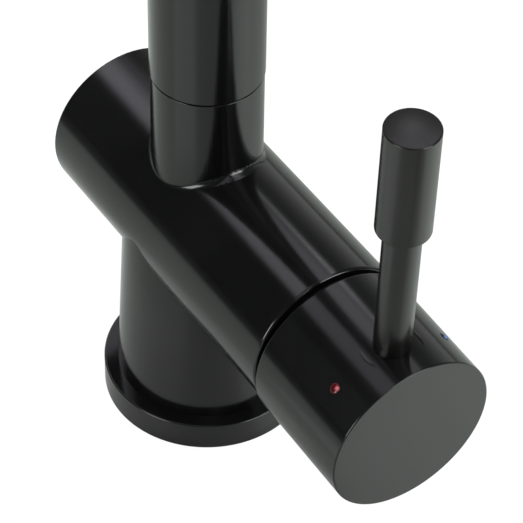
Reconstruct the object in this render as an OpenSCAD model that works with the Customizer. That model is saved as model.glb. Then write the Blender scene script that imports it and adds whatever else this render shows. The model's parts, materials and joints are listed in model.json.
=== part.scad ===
// Pull-out kitchen mixer tap with a side lever, in millimetres.
// +Z is up, +X runs along the barrel towards the lever, and -Y faces the user.
// The origin is the centre of the base ring's underside, on the worktop.

/* [Base and fixing] */
// Diameter of the ring that stands on the worktop
base_d = 53.7; // [52:0.1:64]
// Height of the base ring
base_h = 8.2; // [7:0.1:12]
// Thread diameter of the hollow fixing shank
shank_d = 32; // [30:0.5:33]
// Wall of the shank
shank_wall = 2.5; // [2:0.1:3]
// Length of the shank below the worktop's top
shank_len = 60; // [56:1:80]
// Thickness of the worktop that the fixing clamps
worktop = 38; // [20:1:38]

/* [Body] */
// Pedestal diameter where it stands on the base ring
foot_d = 46.4; // [44:0.1:50]
// Pedestal diameter at the height of the barrel's axis
neck_d = 42.0; // [40:0.1:42.2]
// Diameter of the horizontal barrel
barrel_d = 42.4; // [42.4:0.1:44]
// Height of the barrel's axis above the worktop
barrel_z = 60.9; // [56:0.1:70]
// Length of the barrel behind the spout's axis
barrel_back = 39.4; // [32:0.1:50]
// Length of the barrel from the spout's axis to its mouth
barrel_front = 54.7; // [53:0.1:62]
// Diameter of the collar that carries the spout
collar_d = 27.6; // [27:0.1:28]
// Height of the collar's top above the barrel's axis
collar_rise = 44.9; // [42:0.1:60]
// Radius of the small fillet where the collar meets the barrel
collar_fillet = 2.4; // [1.5:0.1:3]

/* [Spout] */
// Outer diameter of the spout tube
tube_d = 28; // [27:0.1:30]
// Wall of the spout tube
tube_wall = 1.5; // [1:0.1:1.5]
// Height of the whole tap above the worktop
tap_h = 400; // [340:1:460]
// Radius of the arch along the tube's centre line
arch_r = 100; // [80:1:125]
// Straight length of the tube after the arch
leg_len = 20; // [19:1:60]
// Half of the angle that the spout swivels through
swivel = 75; // [30:1:75]

/* [Pull-out handset] */
// Length of the handset below the spout
handset_len = 96; // [80:1:130]
// Diameter of the handset at its nozzle
nozzle_d = 26.4; // [25.6:0.1:27.8]
// Wall of the handset's shell
shell_wall = 2.2; // [1.6:0.1:2.2]
// Visible joint between the handset and the spout
handset_gap = 0.4; // [0.3:0.1:0.8]

/* [Lever cap] */
// Diameter of the lever's cap
cap_d = 43.4; // [43.2:0.1:45]
// Length of the cap from its rim to its face
cap_len = 33.1; // [31:0.1:40]
// Wall of the cap
cap_wall = 1.5; // [1.2:0.05:1.5]
// Gap between the barrel's mouth and the cap's rim, on the axis
cap_gap = 1.1; // [1.1:0.1:2]
// Lean of the lever when the water is off
lean = 1.85; // [0:0.05:2]
// Angle that the lever lifts through to full flow
lift = 25; // [15:1:25]

/* [Lever] */
// Distance from the cap's rim to the lever's axis
lever_from_rim = 22.8; // [20:0.1:25]
// Height of the lever's tip above the cap's axis
lever_top = 89.5; // [75:0.1:120]
// Diameter of the lever rod
rod_d = 9; // [8:0.1:10]
// Diameter of the grip
grip_d = 13; // [11:0.1:16]
// Length of the grip
grip_len = 30.1; // [20:0.1:40]
// Diameter of the coloured hot and cold marks
mark_d = 2.6; // [2:0.1:4]

/* [Cartridge] */
// Diameter of the ceramic disc cartridge
cartridge_d = 35; // [35:0.1:35.4]
// Depth of the lever's pivot behind the barrel's mouth
pivot_depth = 18.7; // [18.5:0.1:20]
// Width of the square stem
stem_w = 8; // [7.5:0.1:8.2]
// Distance from the pivot to the stem's ball
ball_arm = 8; // [7.6:0.1:8.2]

/* [Hidden] */
$fn = 96;

// Radial clearance between pieces that are fixed together
fit = 0.05;
// Radial clearance of a part that turns or slides in another
run = 0.05;
// Small length by which a cut runs past a face
past = 1;
// Steps in each small rounded edge
edge_steps = 4;
// Rounding of the barrel's back edge, mouth edge and of the other edges
back_round = 0.5;
mouth_round = 0.8;
edge = 0.4;
// How far the collar's fillet starts inside the two cylinders, and how deep its root goes
fillet_sink = 0.1;
fillet_root = 1.5;
// Steps across the fillet and round the collar
fillet_steps = 5;
fillet_turns = 60;

black = [0.05, 0.05, 0.055];
brass = [0.78, 0.62, 0.33];
steel = [0.7, 0.71, 0.72];
rubber = [0.08, 0.08, 0.08];
white_plastic = [0.9, 0.9, 0.88];
grey_plastic = [0.45, 0.46, 0.48];
ceramic = [0.93, 0.92, 0.88];

barrel_r = barrel_d / 2;
tube_r = tube_d / 2;
tube_bore_r = tube_r - tube_wall;
collar_r = collar_d / 2;
collar_bore_r = tube_bore_r - 1;

// Base ring, its spigot seat and the rubber seal in its underside
spigot_r = foot_d / 2 - 3.2;
spigot_h = 2.8;
ring_bore_r = shank_d / 2 + 1;
seal_in_r = base_d / 2 - 6.6;
seal_out_r = base_d / 2 - 3;
seal_h = 2.2;
seal_play = 0.2;

// Hollow in the pedestal that takes the shank's upper end and the inlet block
socket_r = shank_d / 2 + fit;
socket_floor = base_h - spigot_h;
shank_top = base_h + 9.8;
block_h = 10;
block_top = shank_top + block_h;
block_r = shank_d / 2 - fit;

// Passage for the pull-out hose, set back to leave room for the ports
hose_hole_r = 7.4;
hose_hole_x = hose_hole_r + 0.2 - collar_bore_r;
// The three threaded ports and the waterways above them
port_r = 3.5;
port_depth = 8;
waterway_r = 2.8;
side_port_x = 3.6;
side_port_y = 8.8;
mixed_port_x = 8.6;
port_seal_r = 3.8;
port_seal_h = 1;

// Collar and the parts that let the spout swivel
seam_z = barrel_z + collar_rise;
collar_bore_depth = 34;
bush_r = collar_bore_r - 0.15;
bush_bore_r = collar_bore_r - 2.5;
bush_reach = 27;
bush_in_tube = 24;
swivel_ring_h = 3;
swivel_ring_in = bush_r - 0.75;
swivel_ring_depths = [4, 20];
washer_h = 0.6;
tube_z = seam_z + washer_h;
stop_depth = 14;
stop_screw_r = 2.5;
stop_tip_r = 1.6;
stop_groove_r = bush_r - 1.5;
stop_tip_y = stop_groove_r + 0.25;
stop_play = 0.2;
stop_half = swivel + asin((stop_tip_r + stop_play) / stop_tip_y);

// Spout arch, outlet leg and handset
arch_z = tap_h - tube_r - arch_r;
outlet_y = -2 * arch_r;
leg_end = arch_z - leg_len;
sleeve_len = leg_len - 2;
sleeve_bore_r = tube_bore_r - 1.9;
spigot_in_sleeve = sleeve_len - 3;
handset_top = leg_end - handset_gap;
handset_bottom = handset_top - handset_len;
nozzle_r = nozzle_d / 2;
nozzle_flange_h = 2.4;
shell_bottom = handset_bottom + nozzle_flange_h;
shell_bore_r = nozzle_r - 1.4;
shell_top_h = 6;
taper_h = 26;
nozzle_thread_h = 10;
connector_stud_r = 8.5;
connector_stud_h = 8;
hose_thread_r = 7;
hose_thread_h = 7.5;
hose_relief = 0.3;
hose_washer_h = 1.5;
hose_seat = handset_top + spigot_in_sleeve - hose_thread_h - hose_washer_h;
valve_r = 6;
valve_len = 12;
outlet_bore_r = 4.5;
aerator_r = shell_bore_r - 1.5;
aerator_lip = 1;

// Cartridge, set out from the lever's pivot towards the cap
pivot_x = barrel_front - pivot_depth;
cartridge_r = cartridge_d / 2;
chamber_r = cartridge_r + 0.1;
chamber_floor = -21.5;
base_back = chamber_floor + 0.3;
base_plate = 3.5;
disc_back = base_back + base_plate;
disc_h = 3;
slide_back = disc_back + disc_h;
carrier_back = slide_back + disc_h;
carrier_h = 5.7;
rotor_back = carrier_back + carrier_h + 0.3;
rotor_shoulder = 4.2;
rotor_front = 9.2;
lip_back = rotor_shoulder + 0.1;
lip_front = 8;
housing_bore_r = cartridge_r - 2.2;
lip_r = 12.9;
rotor_r = housing_bore_r - 0.1;
rotor_neck_r = lip_r - 0.2;
disc_r = housing_bore_r - 0.3;
slide_r = 11;
nut_h = 7;
nut_r = chamber_r + 1.3;
nut_bore_r = 13.7;
thread_r = nut_r + fit;
bonnet_back = lip_front + nut_h;
bonnet_r = 26;
bonnet_bore_r = 16.6;
hot_y = -6.5;
hot_z = 2.5;
mixed_z = -4.5;
inlet_r = 2;
outlet_r = 2.6;
seal_r = 3.8;
seal_pocket = 1.3;
peg_r = 1.5;
peg_h = 2;
peg_y = 9;
peg_z = -7;
ball_r = 3.2;
ball_play = 0.2;
neck_r = 2.2;
stem_back = -4;
pin_r = 1.5;
pin_half = 14;
slot_play = 0.2;
// Height of the ball above the cartridge's axis with the water off
ball_rise = ball_arm * sin(lean);

// Lever cap, set out from the pivot in the leaning frame
cap_r = cap_d / 2;
cap_bore_r = cap_r - cap_wall;
rim = pivot_depth + cap_gap;
face = rim + cap_len;
face_wall = 3.5;
hub_back = bonnet_r + 2;
hub_r = 8.5;
socket_len = 13.8;
stem_front = hub_back + socket_len - 0.3;
lever_x = rim + lever_from_rim;
lever_boss_r = 7.5;
rod_seat = cap_r - 3.2;
stud_r = 3;
stud_len = 7;
grip_base = lever_top - grip_len;
grip_stud = 10;
grub_x = hub_back + 7;
grub_r = 2.5;
grub_len = 10;
grub_boss_r = 4.5;
mark_angle = 45;
mark_depth = 1;
mark_dome = 0.35;

// Points of an arc about (x, y), from angle a to angle b
function arc(x, y, r, a, b, n) =
    [for (i = [0 : n]) [x + r * cos(a + (b - a) * i / n), y + r * sin(a + (b - a) * i / n)]];

// Cylinder with its lower and upper edges rounded
module turned(r, h, low, high) {
    rotate_extrude()
        polygon(concat(
            [[0, 0]],
            arc(r - low, low, low, -90, 0, edge_steps),
            arc(r - high, h - high, high, 0, 90, edge_steps),
            [[0, h]]));
}

// Plain ring
module ring(out_r, in_r, h) {
    difference() {
        cylinder(r = out_r, h = h);
        translate([0, 0, -past]) cylinder(r = in_r, h = h + 2 * past);
    }
}

// Turns a piece drawn up the Z axis so that it runs along +X
module along_x() {
    rotate([0, 90, 0]) children();
}

// Frame of the cartridge: the lever's pivot, with X along the barrel
module at_pivot() {
    translate([pivot_x, 0, barrel_z]) children();
}

// Frame of the lever: the pivot, leaning as the lever does with the water off
module at_lever() {
    at_pivot() rotate([0, lean, 0]) children();
}

// A hole along X between two distances from the pivot
module bore_x(r, x0, x1) {
    translate([x0, 0, 0]) along_x() cylinder(r = r, h = x1 - x0);
}

// The cartridge's two inlets and its outlet, each drawn at its own place
module at_inlets() {
    for (side = [-1, 1])
        translate([0, side * hot_y, hot_z]) children();
}

module at_outlet() {
    translate([0, 0, mixed_z]) children();
}

// The three ports in the pedestal: two inlets and the mixed outlet
module at_ports() {
    for (side = [-1, 1])
        translate([side_port_x, side * side_port_y, 0]) children();
    translate([mixed_port_x, 0, 0]) children();
}

module body_casting() {
    color(black)
        difference() {
            union() {
                translate([0, 0, base_h])
                    cylinder(d1 = foot_d, d2 = neck_d, h = barrel_z - base_h);
                translate([0, 0, socket_floor])
                    cylinder(r = spigot_r, h = spigot_h + past);
                translate([-barrel_back, 0, barrel_z])
                    along_x()
                        turned(barrel_r, barrel_back + barrel_front, back_round, mouth_round);
                translate([0, 0, barrel_z])
                    turned(collar_r, collar_rise, edge, edge / 2);
                fillet_ring();
            }
            translate([0, 0, socket_floor - past])
                cylinder(r = socket_r, h = block_top - socket_floor + past);
            translate([hose_hole_x, 0, base_h])
                cylinder(r = hose_hole_r, h = seam_z - collar_bore_depth - base_h + past);
            translate([0, 0, seam_z - collar_bore_depth])
                cylinder(r = collar_bore_r, h = collar_bore_depth + past);
            casting_waterways();
            at_pivot() {
                bore_x(chamber_r, chamber_floor, pivot_depth + past);
                bore_x(thread_r, lip_front, pivot_depth + past);
                for (side = [-1, 1])
                    translate([0, side * peg_y, peg_z])
                        bore_x(peg_r + fit, chamber_floor - peg_h - fit, chamber_floor + past);
            }
            translate([0, 0, seam_z - stop_depth])
                rotate([-90, 0, 0])
                    cylinder(r = stop_screw_r + fit, h = collar_r + past);
        }
}

// Drillings from the ports up, and back from the cartridge's seat to meet them
module casting_waterways() {
    for (side = [-1, 1]) {
        translate([side_port_x, side * side_port_y, block_top - past])
            cylinder(r = waterway_r, h = barrel_z + hot_z - block_top + past);
        translate([side_port_x - 0.6, side * hot_y, barrel_z + hot_z])
            along_x() cylinder(r = inlet_r + 0.3, h = pivot_x + chamber_floor - side_port_x + past);
    }
    translate([mixed_port_x, 0, block_top - past])
        cylinder(r = waterway_r, h = barrel_z + mixed_z - block_top + past);
    translate([mixed_port_x - past, 0, barrel_z + mixed_z])
        along_x() cylinder(r = outlet_r, h = pivot_x + chamber_floor - mixed_port_x + 2 * past);
}

// Point between two unit vectors, along the great circle from a to b
function mix(a, b, s) =
    let (w = acos(a * b))
    (sin((1 - s) * w) * a + sin(s * w) * b) / sin(w);

// One section of the fillet: a ball that touches the collar and the barrel, rolled to angle t.
// It touches cylinders a little inside the real ones, so that it meets both at a clean angle.
function fillet_section(t) =
    let (
        small = collar_r - fillet_sink,
        big = barrel_r - fillet_sink,
        x = (small + collar_fillet) * cos(t),
        y = (small + collar_fillet) * sin(t),
        h = sqrt(pow(big + collar_fillet, 2) - y * y),
        to_collar = [-cos(t), -sin(t), 0],
        to_barrel = [0, -y, -h] / (big + collar_fillet),
        in_x = (small - fillet_root) * cos(t),
        in_y = (small - fillet_root) * sin(t),
        in_z = h * big / (big + collar_fillet) - fillet_root)
    concat(
        [for (i = [0 : fillet_steps])
            [x, y, h] + collar_fillet * mix(to_collar, to_barrel, i / fillet_steps)],
        [[in_x, in_y, in_z]]);

module fillet_ring() {
    per = fillet_steps + 2;
    points = [for (k = [0 : fillet_turns - 1]) each fillet_section(k * 360 / fillet_turns)];
    faces = [for (k = [0 : fillet_turns - 1])
        let (a = k * per, b = ((k + 1) % fillet_turns) * per)
        for (i = [0 : per - 1])
            let (j = (i + 1) % per)
            each [[a + i, b + i, b + j], [a + i, b + j, a + j]]];
    translate([0, 0, barrel_z]) polyhedron(points = points, faces = faces);
}

module base_ring() {
    color(black)
        difference() {
            turned(base_d / 2, base_h, edge, edge);
            translate([0, 0, -past])
                cylinder(r = ring_bore_r, h = base_h + 2 * past);
            translate([0, 0, socket_floor - seal_play])
                cylinder(r = spigot_r + fit, h = spigot_h + seal_play + past);
            translate([0, 0, -past])
                ring(seal_out_r, seal_in_r, seal_h + past);
        }
}

module base_seal() {
    color(rubber)
        ring(seal_out_r - seal_play, seal_in_r + seal_play, seal_h);
}

module threaded_shank() {
    color(brass)
        translate([0, 0, -shank_len])
            difference() {
                turned(shank_d / 2, shank_len + shank_top, edge, edge);
                translate([0, 0, -past])
                    cylinder(r = shank_d / 2 - shank_wall, h = shank_len + shank_top + 2 * past);
            }
}

module inlet_block() {
    color(brass)
        difference() {
            translate([0, 0, shank_top]) cylinder(r = block_r, h = block_h);
            translate([hose_hole_x, 0, shank_top - past])
                cylinder(r = hose_hole_r, h = block_h + 2 * past);
            at_ports() {
                translate([0, 0, shank_top - past])
                    cylinder(r = port_r, h = port_depth + past);
                translate([0, 0, shank_top])
                    cylinder(r = waterway_r, h = block_h + past);
                translate([0, 0, block_top - port_seal_h])
                    cylinder(r = port_seal_r + fit, h = port_seal_h + past);
            }
        }
}

module port_seals() {
    color(rubber)
        at_ports()
            translate([0, 0, block_top - port_seal_h])
                ring(port_seal_r, waterway_r, port_seal_h);
}

// Rubber washer, steel washer, nut and two clamping screws under the worktop
rubber_h = 3;
steel_h = 2;
nut_gap = 2;
back_nut_h = 9;
screw_x = 21.5;
screw_r = 2.5;
screw_head_r = 4.2;
screw_head_h = 3.5;

module rubber_washer() {
    color(rubber)
        translate([0, 0, -worktop - rubber_h])
            ring(shank_d / 2 + 10, shank_d / 2 + 0.3, rubber_h);
}

module clamp_washer() {
    color(steel)
        translate([0, 0, -worktop - rubber_h - steel_h])
            ring(shank_d / 2 + 10.5, shank_d / 2 + 0.3, steel_h);
}

module back_nut() {
    color(brass)
        translate([0, 0, -worktop - rubber_h - steel_h - nut_gap - back_nut_h])
            difference() {
                turned(shank_d / 2 + 10, back_nut_h, edge, edge);
                translate([0, 0, -past])
                    cylinder(r = shank_d / 2 + fit, h = back_nut_h + 2 * past);
                for (side = [-1, 1])
                    translate([side * screw_x, 0, -past])
                        cylinder(r = screw_r + fit, h = back_nut_h + 2 * past);
                for (side = [-1, 1])
                    translate([-3, side * (shank_d / 2 + 10) - 2, -past])
                        cube([6, 4, back_nut_h + 2 * past]);
            }
}

module clamp_screws() {
    color(steel)
        for (side = [-1, 1])
            translate([side * screw_x, 0, -worktop - rubber_h - steel_h])
                difference() {
                    union() {
                        mirror([0, 0, 1]) cylinder(r = screw_r, h = nut_gap + back_nut_h + 3);
                        translate([0, 0, -nut_gap - back_nut_h - 3 - screw_head_h])
                            turned(screw_head_r, screw_head_h, edge, edge);
                    }
                    translate([-0.6, -screw_head_r - past, -nut_gap - back_nut_h - 3 - screw_head_h - past])
                        cube([1.2, 2 * (screw_head_r + past), 1.4 + past]);
                }
}

module cartridge_base() {
    color(grey_plastic)
        at_pivot()
            difference() {
                union() {
                    translate([base_back, 0, 0]) along_x() cylinder(r = cartridge_r - 0.1, h = base_plate);
                    for (side = [-1, 1])
                        translate([0, side * peg_y, peg_z])
                            bore_x(peg_r, chamber_floor - peg_h, base_back + past);
                }
                at_inlets() bore_x(inlet_r, chamber_floor - past, disc_back + past);
                at_outlet() bore_x(outlet_r, chamber_floor - past, disc_back + past);
                at_inlets() bore_x(seal_r + fit, chamber_floor - past, base_back + seal_pocket);
                at_outlet() bore_x(seal_r + fit, chamber_floor - past, base_back + seal_pocket);
            }
}

module cartridge_seals() {
    color(rubber)
        at_pivot() {
            at_inlets() cartridge_seal();
            at_outlet() cartridge_seal();
        }
}

// One square-cut seal ring between the cartridge and its seat
module cartridge_seal() {
    translate([chamber_floor, 0, 0])
        along_x() ring(seal_r, outlet_r + 0.1, base_back + seal_pocket - chamber_floor);
}

module cartridge_housing() {
    color(white_plastic)
        at_pivot()
            difference() {
                translate([disc_back, 0, 0]) along_x() turned(cartridge_r, lip_front - disc_back, edge / 2, edge);
                bore_x(housing_bore_r, disc_back - past, lip_back);
                bore_x(lip_r, disc_back, lip_front + past);
            }
}

module fixed_disc() {
    color(ceramic)
        at_pivot()
            difference() {
                translate([disc_back, 0, 0]) along_x() cylinder(r = disc_r, h = disc_h);
                at_inlets() bore_x(inlet_r, disc_back - past, slide_back + past);
                at_outlet() bore_x(outlet_r, disc_back - past, slide_back + past);
            }
}

module retaining_nut() {
    color(brass)
        at_pivot()
            difference() {
                translate([lip_front, 0, 0]) along_x() turned(nut_r, nut_h, edge, edge);
                bore_x(nut_bore_r, lip_front - past, bonnet_back + past);
                for (a = [45 : 90 : 315])
                    rotate([a, 0, 0])
                        translate([bonnet_back - 2.5, nut_bore_r - past, -1.5])
                            cube([2.5 + past, 4 + past, 3]);
            }
}

// Black trim ring over the nut, domed about the pivot so that the cap swings clear
module bonnet_ring() {
    color(black)
        at_pivot()
            along_x()
                rotate_extrude()
                    polygon(concat(
                        [[bonnet_bore_r, bonnet_back], [nut_r, bonnet_back]],
                        arc(0, 0, bonnet_r, acos((nut_r - edge) / bonnet_r),
                            acos(bonnet_bore_r / bonnet_r), edge_steps)));
}

module spout_stop_screw() {
    color(steel)
        translate([0, 0, seam_z - stop_depth])
            rotate([-90, 0, 0])
                difference() {
                    union() {
                        translate([0, 0, stop_tip_y]) cylinder(r = stop_tip_r, h = collar_r - stop_tip_y);
                        translate([0, 0, collar_bore_r + 0.1])
                            cylinder(r = stop_screw_r, h = collar_r - collar_bore_r - 0.3);
                    }
                    translate([0, 0, collar_r - 1.6]) cylinder(d = 2.5 / cos(30), h = 3, $fn = 6);
                }
}

// Turning carrier at the top of the cartridge, which holds the lever's pivot pin
module cartridge_rotor() {
    color(white_plastic)
        at_pivot()
            difference() {
                union() {
                    bore_x(rotor_r, rotor_back, rotor_shoulder);
                    bore_x(rotor_neck_r, rotor_back + past, rotor_front);
                }
                stem_slot();
                rotate([90, 0, 0])
                    translate([0, 0, -pin_half - fit]) cylinder(r = pin_r + fit, h = 2 * (pin_half + fit));
            }
}

// Slot in which the stem swings between closed and full flow
module stem_slot() {
    half = stem_w / 2;
    open = lean + lift;
    stop = 0.4;
    // Highest that the stem's back corner and its ball come
    top_back = max(norm([stem_back, half]), ball_arm * sin(open) + ball_r) + stop;
    // Where the stem's lower side passes at full flow, at a distance x from the pivot
    low_back = -(half / cos(open)) - stop;
    low_front = -(half / cos(open)) - (rotor_front + past) * tan(open) - stop;
    rotate([90, 0, 0])
        translate([0, 0, -half - slot_play])
            linear_extrude(height = stem_w + 2 * slot_play)
                polygon([
                    [rotor_back - past, top_back],
                    [half * sin(open) - 1.5, top_back],
                    [half * sin(open) + 0.5, half + stop],
                    [rotor_front + past, half + stop],
                    [rotor_front + past, low_front],
                    [0, low_back],
                    [stem_back - stop, -half - stop],
                    [rotor_back - past, -half - stop]]);
}

module pivot_pin() {
    color(steel)
        at_pivot()
            rotate([90, 0, 0])
                translate([0, 0, -pin_half]) cylinder(r = pin_r, h = 2 * pin_half);
}

// Sliding ceramic disc, with the mixing hollow in its lower face
module moving_disc() {
    color(ceramic)
        at_pivot()
            translate([slide_back, 0, ball_rise])
                difference() {
                    along_x() cylinder(r = slide_r, h = disc_h);
                    translate([0, 0, -3.7]) {
                        for (side = [-1, 1])
                            translate([0, side * 4.4, 0]) bore_x(3.1, -past, 1.4);
                        translate([-past, -4.4, -3.1]) cube([1.4 + past, 8.8, 6.2]);
                    }
                }
}

module disc_carrier() {
    color(grey_plastic)
        at_pivot()
            translate([carrier_back, 0, ball_rise])
                difference() {
                    along_x() cylinder(r = slide_r, h = carrier_h);
                    bore_x(ball_r + ball_play, -past, carrier_h + past);
                }
}

module cartridge_stem() {
    color(brass)
        at_lever()
            difference() {
                union() {
                    translate([stem_back, -stem_w / 2, -stem_w / 2])
                        cube([stem_front - stem_back, stem_w, stem_w]);
                    bore_x(neck_r, -ball_arm, stem_back + past);
                    translate([-ball_arm, 0, 0]) sphere(r = ball_r);
                }
                rotate([90, 0, 0])
                    translate([0, 0, -stem_w]) cylinder(r = pin_r + run, h = 2 * stem_w);
            }
}

module handle_cap() {
    color(black)
        at_lever()
            difference() {
                union() {
                    along_x()
                        rotate_extrude()
                            polygon(concat(
                                [[0, hub_back], [hub_r, hub_back], [hub_r, face - face_wall],
                                    [cap_bore_r, face - face_wall], [cap_bore_r, rim]],
                                arc(cap_r - edge, rim + edge, edge, -90, 0, edge_steps),
                                arc(cap_r - edge, face - edge, edge, 0, 90, edge_steps),
                                [[0, face]]));
                    translate([lever_x, 0, 0])
                        cylinder(r = lever_boss_r, h = cap_bore_r + cap_wall / 3);
                    translate([grub_x, 0, 0])
                        mirror([0, 0, 1]) cylinder(r = grub_boss_r, h = cap_bore_r + cap_wall / 3);
                }
                translate([hub_back - past, -stem_w / 2 - fit, -stem_w / 2 - fit])
                    cube([socket_len + past, stem_w + 2 * fit, stem_w + 2 * fit]);
                translate([lever_x, 0, rod_seat]) cylinder(d = rod_d + 2 * fit, h = cap_r);
                translate([lever_x, 0, rod_seat - stud_len - past])
                    cylinder(r = stud_r + fit, h = stud_len + 2 * past);
                translate([grub_x, 0, 0])
                    mirror([0, 0, 1]) cylinder(r = grub_r + fit, h = cap_r + past);
                for (side = [-1, 1])
                    translate([lever_x, 0, 0])
                        rotate([side * mark_angle, 0, 0])
                            translate([0, 0, cap_r - mark_depth]) cylinder(d = mark_d + 2 * fit, h = mark_depth + past);
            }
}

module lever_rod() {
    color(black)
        at_lever()
            translate([lever_x, 0, 0]) {
                translate([0, 0, rod_seat]) cylinder(d = rod_d, h = grip_base - rod_seat);
                translate([0, 0, rod_seat - stud_len])
                    cylinder(r = stud_r, h = grip_base + grip_stud - rod_seat + stud_len);
            }
}

module lever_grip() {
    color(black)
        at_lever()
            translate([lever_x, 0, grip_base])
                difference() {
                    turned(grip_d / 2, grip_len, edge, edge);
                    translate([0, 0, -past]) cylinder(r = stud_r + fit, h = grip_stud + 2 * past);
                }
}

module cap_grub_screw() {
    color(steel)
        at_lever()
            translate([grub_x, 0, -stem_w / 2])
                mirror([0, 0, 1])
                    difference() {
                        cylinder(r = grub_r, h = grub_len);
                        translate([0, 0, grub_len - 2.5]) cylinder(d = 2.5 / cos(30), h = 3, $fn = 6);
                    }
}

// Small domed jewel set in the cap, to the front for hot and to the rear for cold
module mark(side) {
    at_lever()
        translate([lever_x, 0, 0])
            rotate([side * mark_angle, 0, 0])
                translate([0, 0, cap_r - mark_depth])
                    rotate_extrude()
                        polygon([
                            [0, 0], [mark_d / 2, 0],
                            [mark_d / 2, mark_depth - 0.05],
                            [mark_d / 2 * cos(30), mark_depth + mark_dome * sin(30)],
                            [mark_d / 2 * cos(60), mark_depth + mark_dome * sin(60)],
                            [0, mark_depth + mark_dome]]);
}

module hot_mark() {
    color([0.75, 0.05, 0.05]) mark(1);
}

module cold_mark() {
    color([0.05, 0.1, 0.6]) mark(-1);
}

// Half ring of tube over the spout, drawn up from the top of the riser
module arch(r) {
    translate([0, -arch_r, arch_z])
        rotate([90, 0, 90])
            rotate_extrude(angle = 180)
                translate([arch_r, 0]) circle(r = r);
}

module spout_tube() {
    color(black)
        difference() {
            union() {
                translate([0, 0, tube_z]) cylinder(r = tube_r, h = arch_z - tube_z);
                arch(tube_r);
                translate([0, outlet_y, leg_end]) cylinder(r = tube_r, h = leg_len);
            }
            translate([0, 0, tube_z - past]) cylinder(r = tube_bore_r, h = arch_z - tube_z + past);
            arch(tube_bore_r);
            translate([0, outlet_y, leg_end - past]) cylinder(r = tube_bore_r, h = leg_len + past);
        }
}

// Bush in the foot of the tube, whose spigot turns in the collar
module spout_bush() {
    color(brass)
        difference() {
            union() {
                translate([0, 0, tube_z]) cylinder(r = tube_bore_r - fit, h = bush_in_tube);
                translate([0, 0, seam_z - bush_reach]) cylinder(r = bush_r, h = bush_reach + washer_h);
            }
            translate([0, 0, seam_z - bush_reach - past])
                cylinder(r = bush_bore_r, h = bush_reach + bush_in_tube + 2 * past);
            for (depth = swivel_ring_depths)
                translate([0, 0, seam_z - depth - swivel_ring_h])
                    ring(bush_r + past, swivel_ring_in - fit, swivel_ring_h);
            translate([0, 0, seam_z - stop_depth - stop_tip_r - stop_play])
                rotate([0, 0, 90 - stop_half])
                    rotate_extrude(angle = 2 * stop_half)
                        translate([stop_groove_r, 0])
                            square([bush_r, 2 * (stop_tip_r + stop_play)]);
        }
}

module swivel_rings() {
    color(white_plastic)
        for (depth = swivel_ring_depths)
            translate([0, 0, seam_z - depth - swivel_ring_h + 0.1])
                ring(collar_bore_r - run, swivel_ring_in, swivel_ring_h - 0.2);
}

// Thin washer that the tube turns on, seen as the dark seam above the collar
module swivel_washer() {
    color(rubber)
        translate([0, 0, seam_z])
            ring(collar_r - 0.4, bush_r + fit, washer_h);
}

module docking_sleeve() {
    color(grey_plastic)
        translate([0, outlet_y, leg_end])
            ring(tube_bore_r - fit, sleeve_bore_r, sleeve_len);
}

module handset_shell() {
    color(black)
        translate([0, outlet_y, 0])
            rotate_extrude()
                polygon(concat(
                    [[shell_bore_r, shell_bottom], [nozzle_r, shell_bottom],
                        [tube_r, shell_bottom + taper_h]],
                    arc(tube_r - edge / 2, handset_top - edge / 2, edge / 2, 0, 90, edge_steps),
                    [[connector_stud_r + fit, handset_top],
                        [connector_stud_r + fit, handset_top - shell_top_h],
                        [tube_r - shell_wall, handset_top - shell_top_h],
                        [tube_r - shell_wall, shell_bottom + taper_h],
                        [shell_bore_r, shell_bottom + nozzle_thread_h + 2]]));
}

// Coupling on top of the handset, with the thread for the pull-out hose
module handset_connector() {
    color(brass)
        translate([0, outlet_y, 0])
            difference() {
                union() {
                    translate([0, 0, handset_top])
                        turned(sleeve_bore_r - 2 * run, spigot_in_sleeve, edge / 2, 2 * edge);
                    translate([0, 0, handset_top - connector_stud_h])
                        cylinder(r = connector_stud_r, h = connector_stud_h + past);
                }
                translate([0, 0, hose_seat]) cylinder(r = hose_thread_r, h = spigot_in_sleeve);
                translate([0, 0, hose_seat]) cylinder(r = hose_thread_r + hose_relief, h = hose_washer_h);
                translate([0, 0, hose_seat - valve_len]) cylinder(r = valve_r, h = valve_len + past);
                translate([0, 0, handset_top - connector_stud_h - past])
                    cylinder(r = outlet_bore_r, h = connector_stud_h + spigot_in_sleeve);
            }
}

module check_valve() {
    color(white_plastic)
        translate([0, outlet_y, hose_seat - valve_len])
            difference() {
                turned(valve_r - fit, valve_len, edge, edge);
                translate([0, 0, valve_len - 5]) cylinder(r = valve_r - 1.5, h = 5 + past);
                for (a = [0 : 60 : 300])
                    rotate([0, 0, a])
                        translate([2.6, 0, -past]) cylinder(r = 0.9, h = valve_len);
            }
}

module hose_washer() {
    color(rubber)
        translate([0, outlet_y, hose_seat])
            ring(hose_thread_r - fit, outlet_bore_r, hose_washer_h);
}

// Screwed ring at the outlet, which holds the aerator
module nozzle_ring() {
    color(black)
        translate([0, outlet_y, 0])
            rotate_extrude()
                polygon(concat(
                    [[aerator_r - aerator_lip, handset_bottom]],
                    arc(nozzle_r - edge, handset_bottom + edge, edge, -90, 0, edge_steps),
                    [[nozzle_r, shell_bottom], [shell_bore_r - fit, shell_bottom],
                        [shell_bore_r - fit, shell_bottom + nozzle_thread_h],
                        [aerator_r, shell_bottom + nozzle_thread_h],
                        [aerator_r, handset_bottom + aerator_lip],
                        [aerator_r - aerator_lip, handset_bottom + aerator_lip]]));
}

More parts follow.
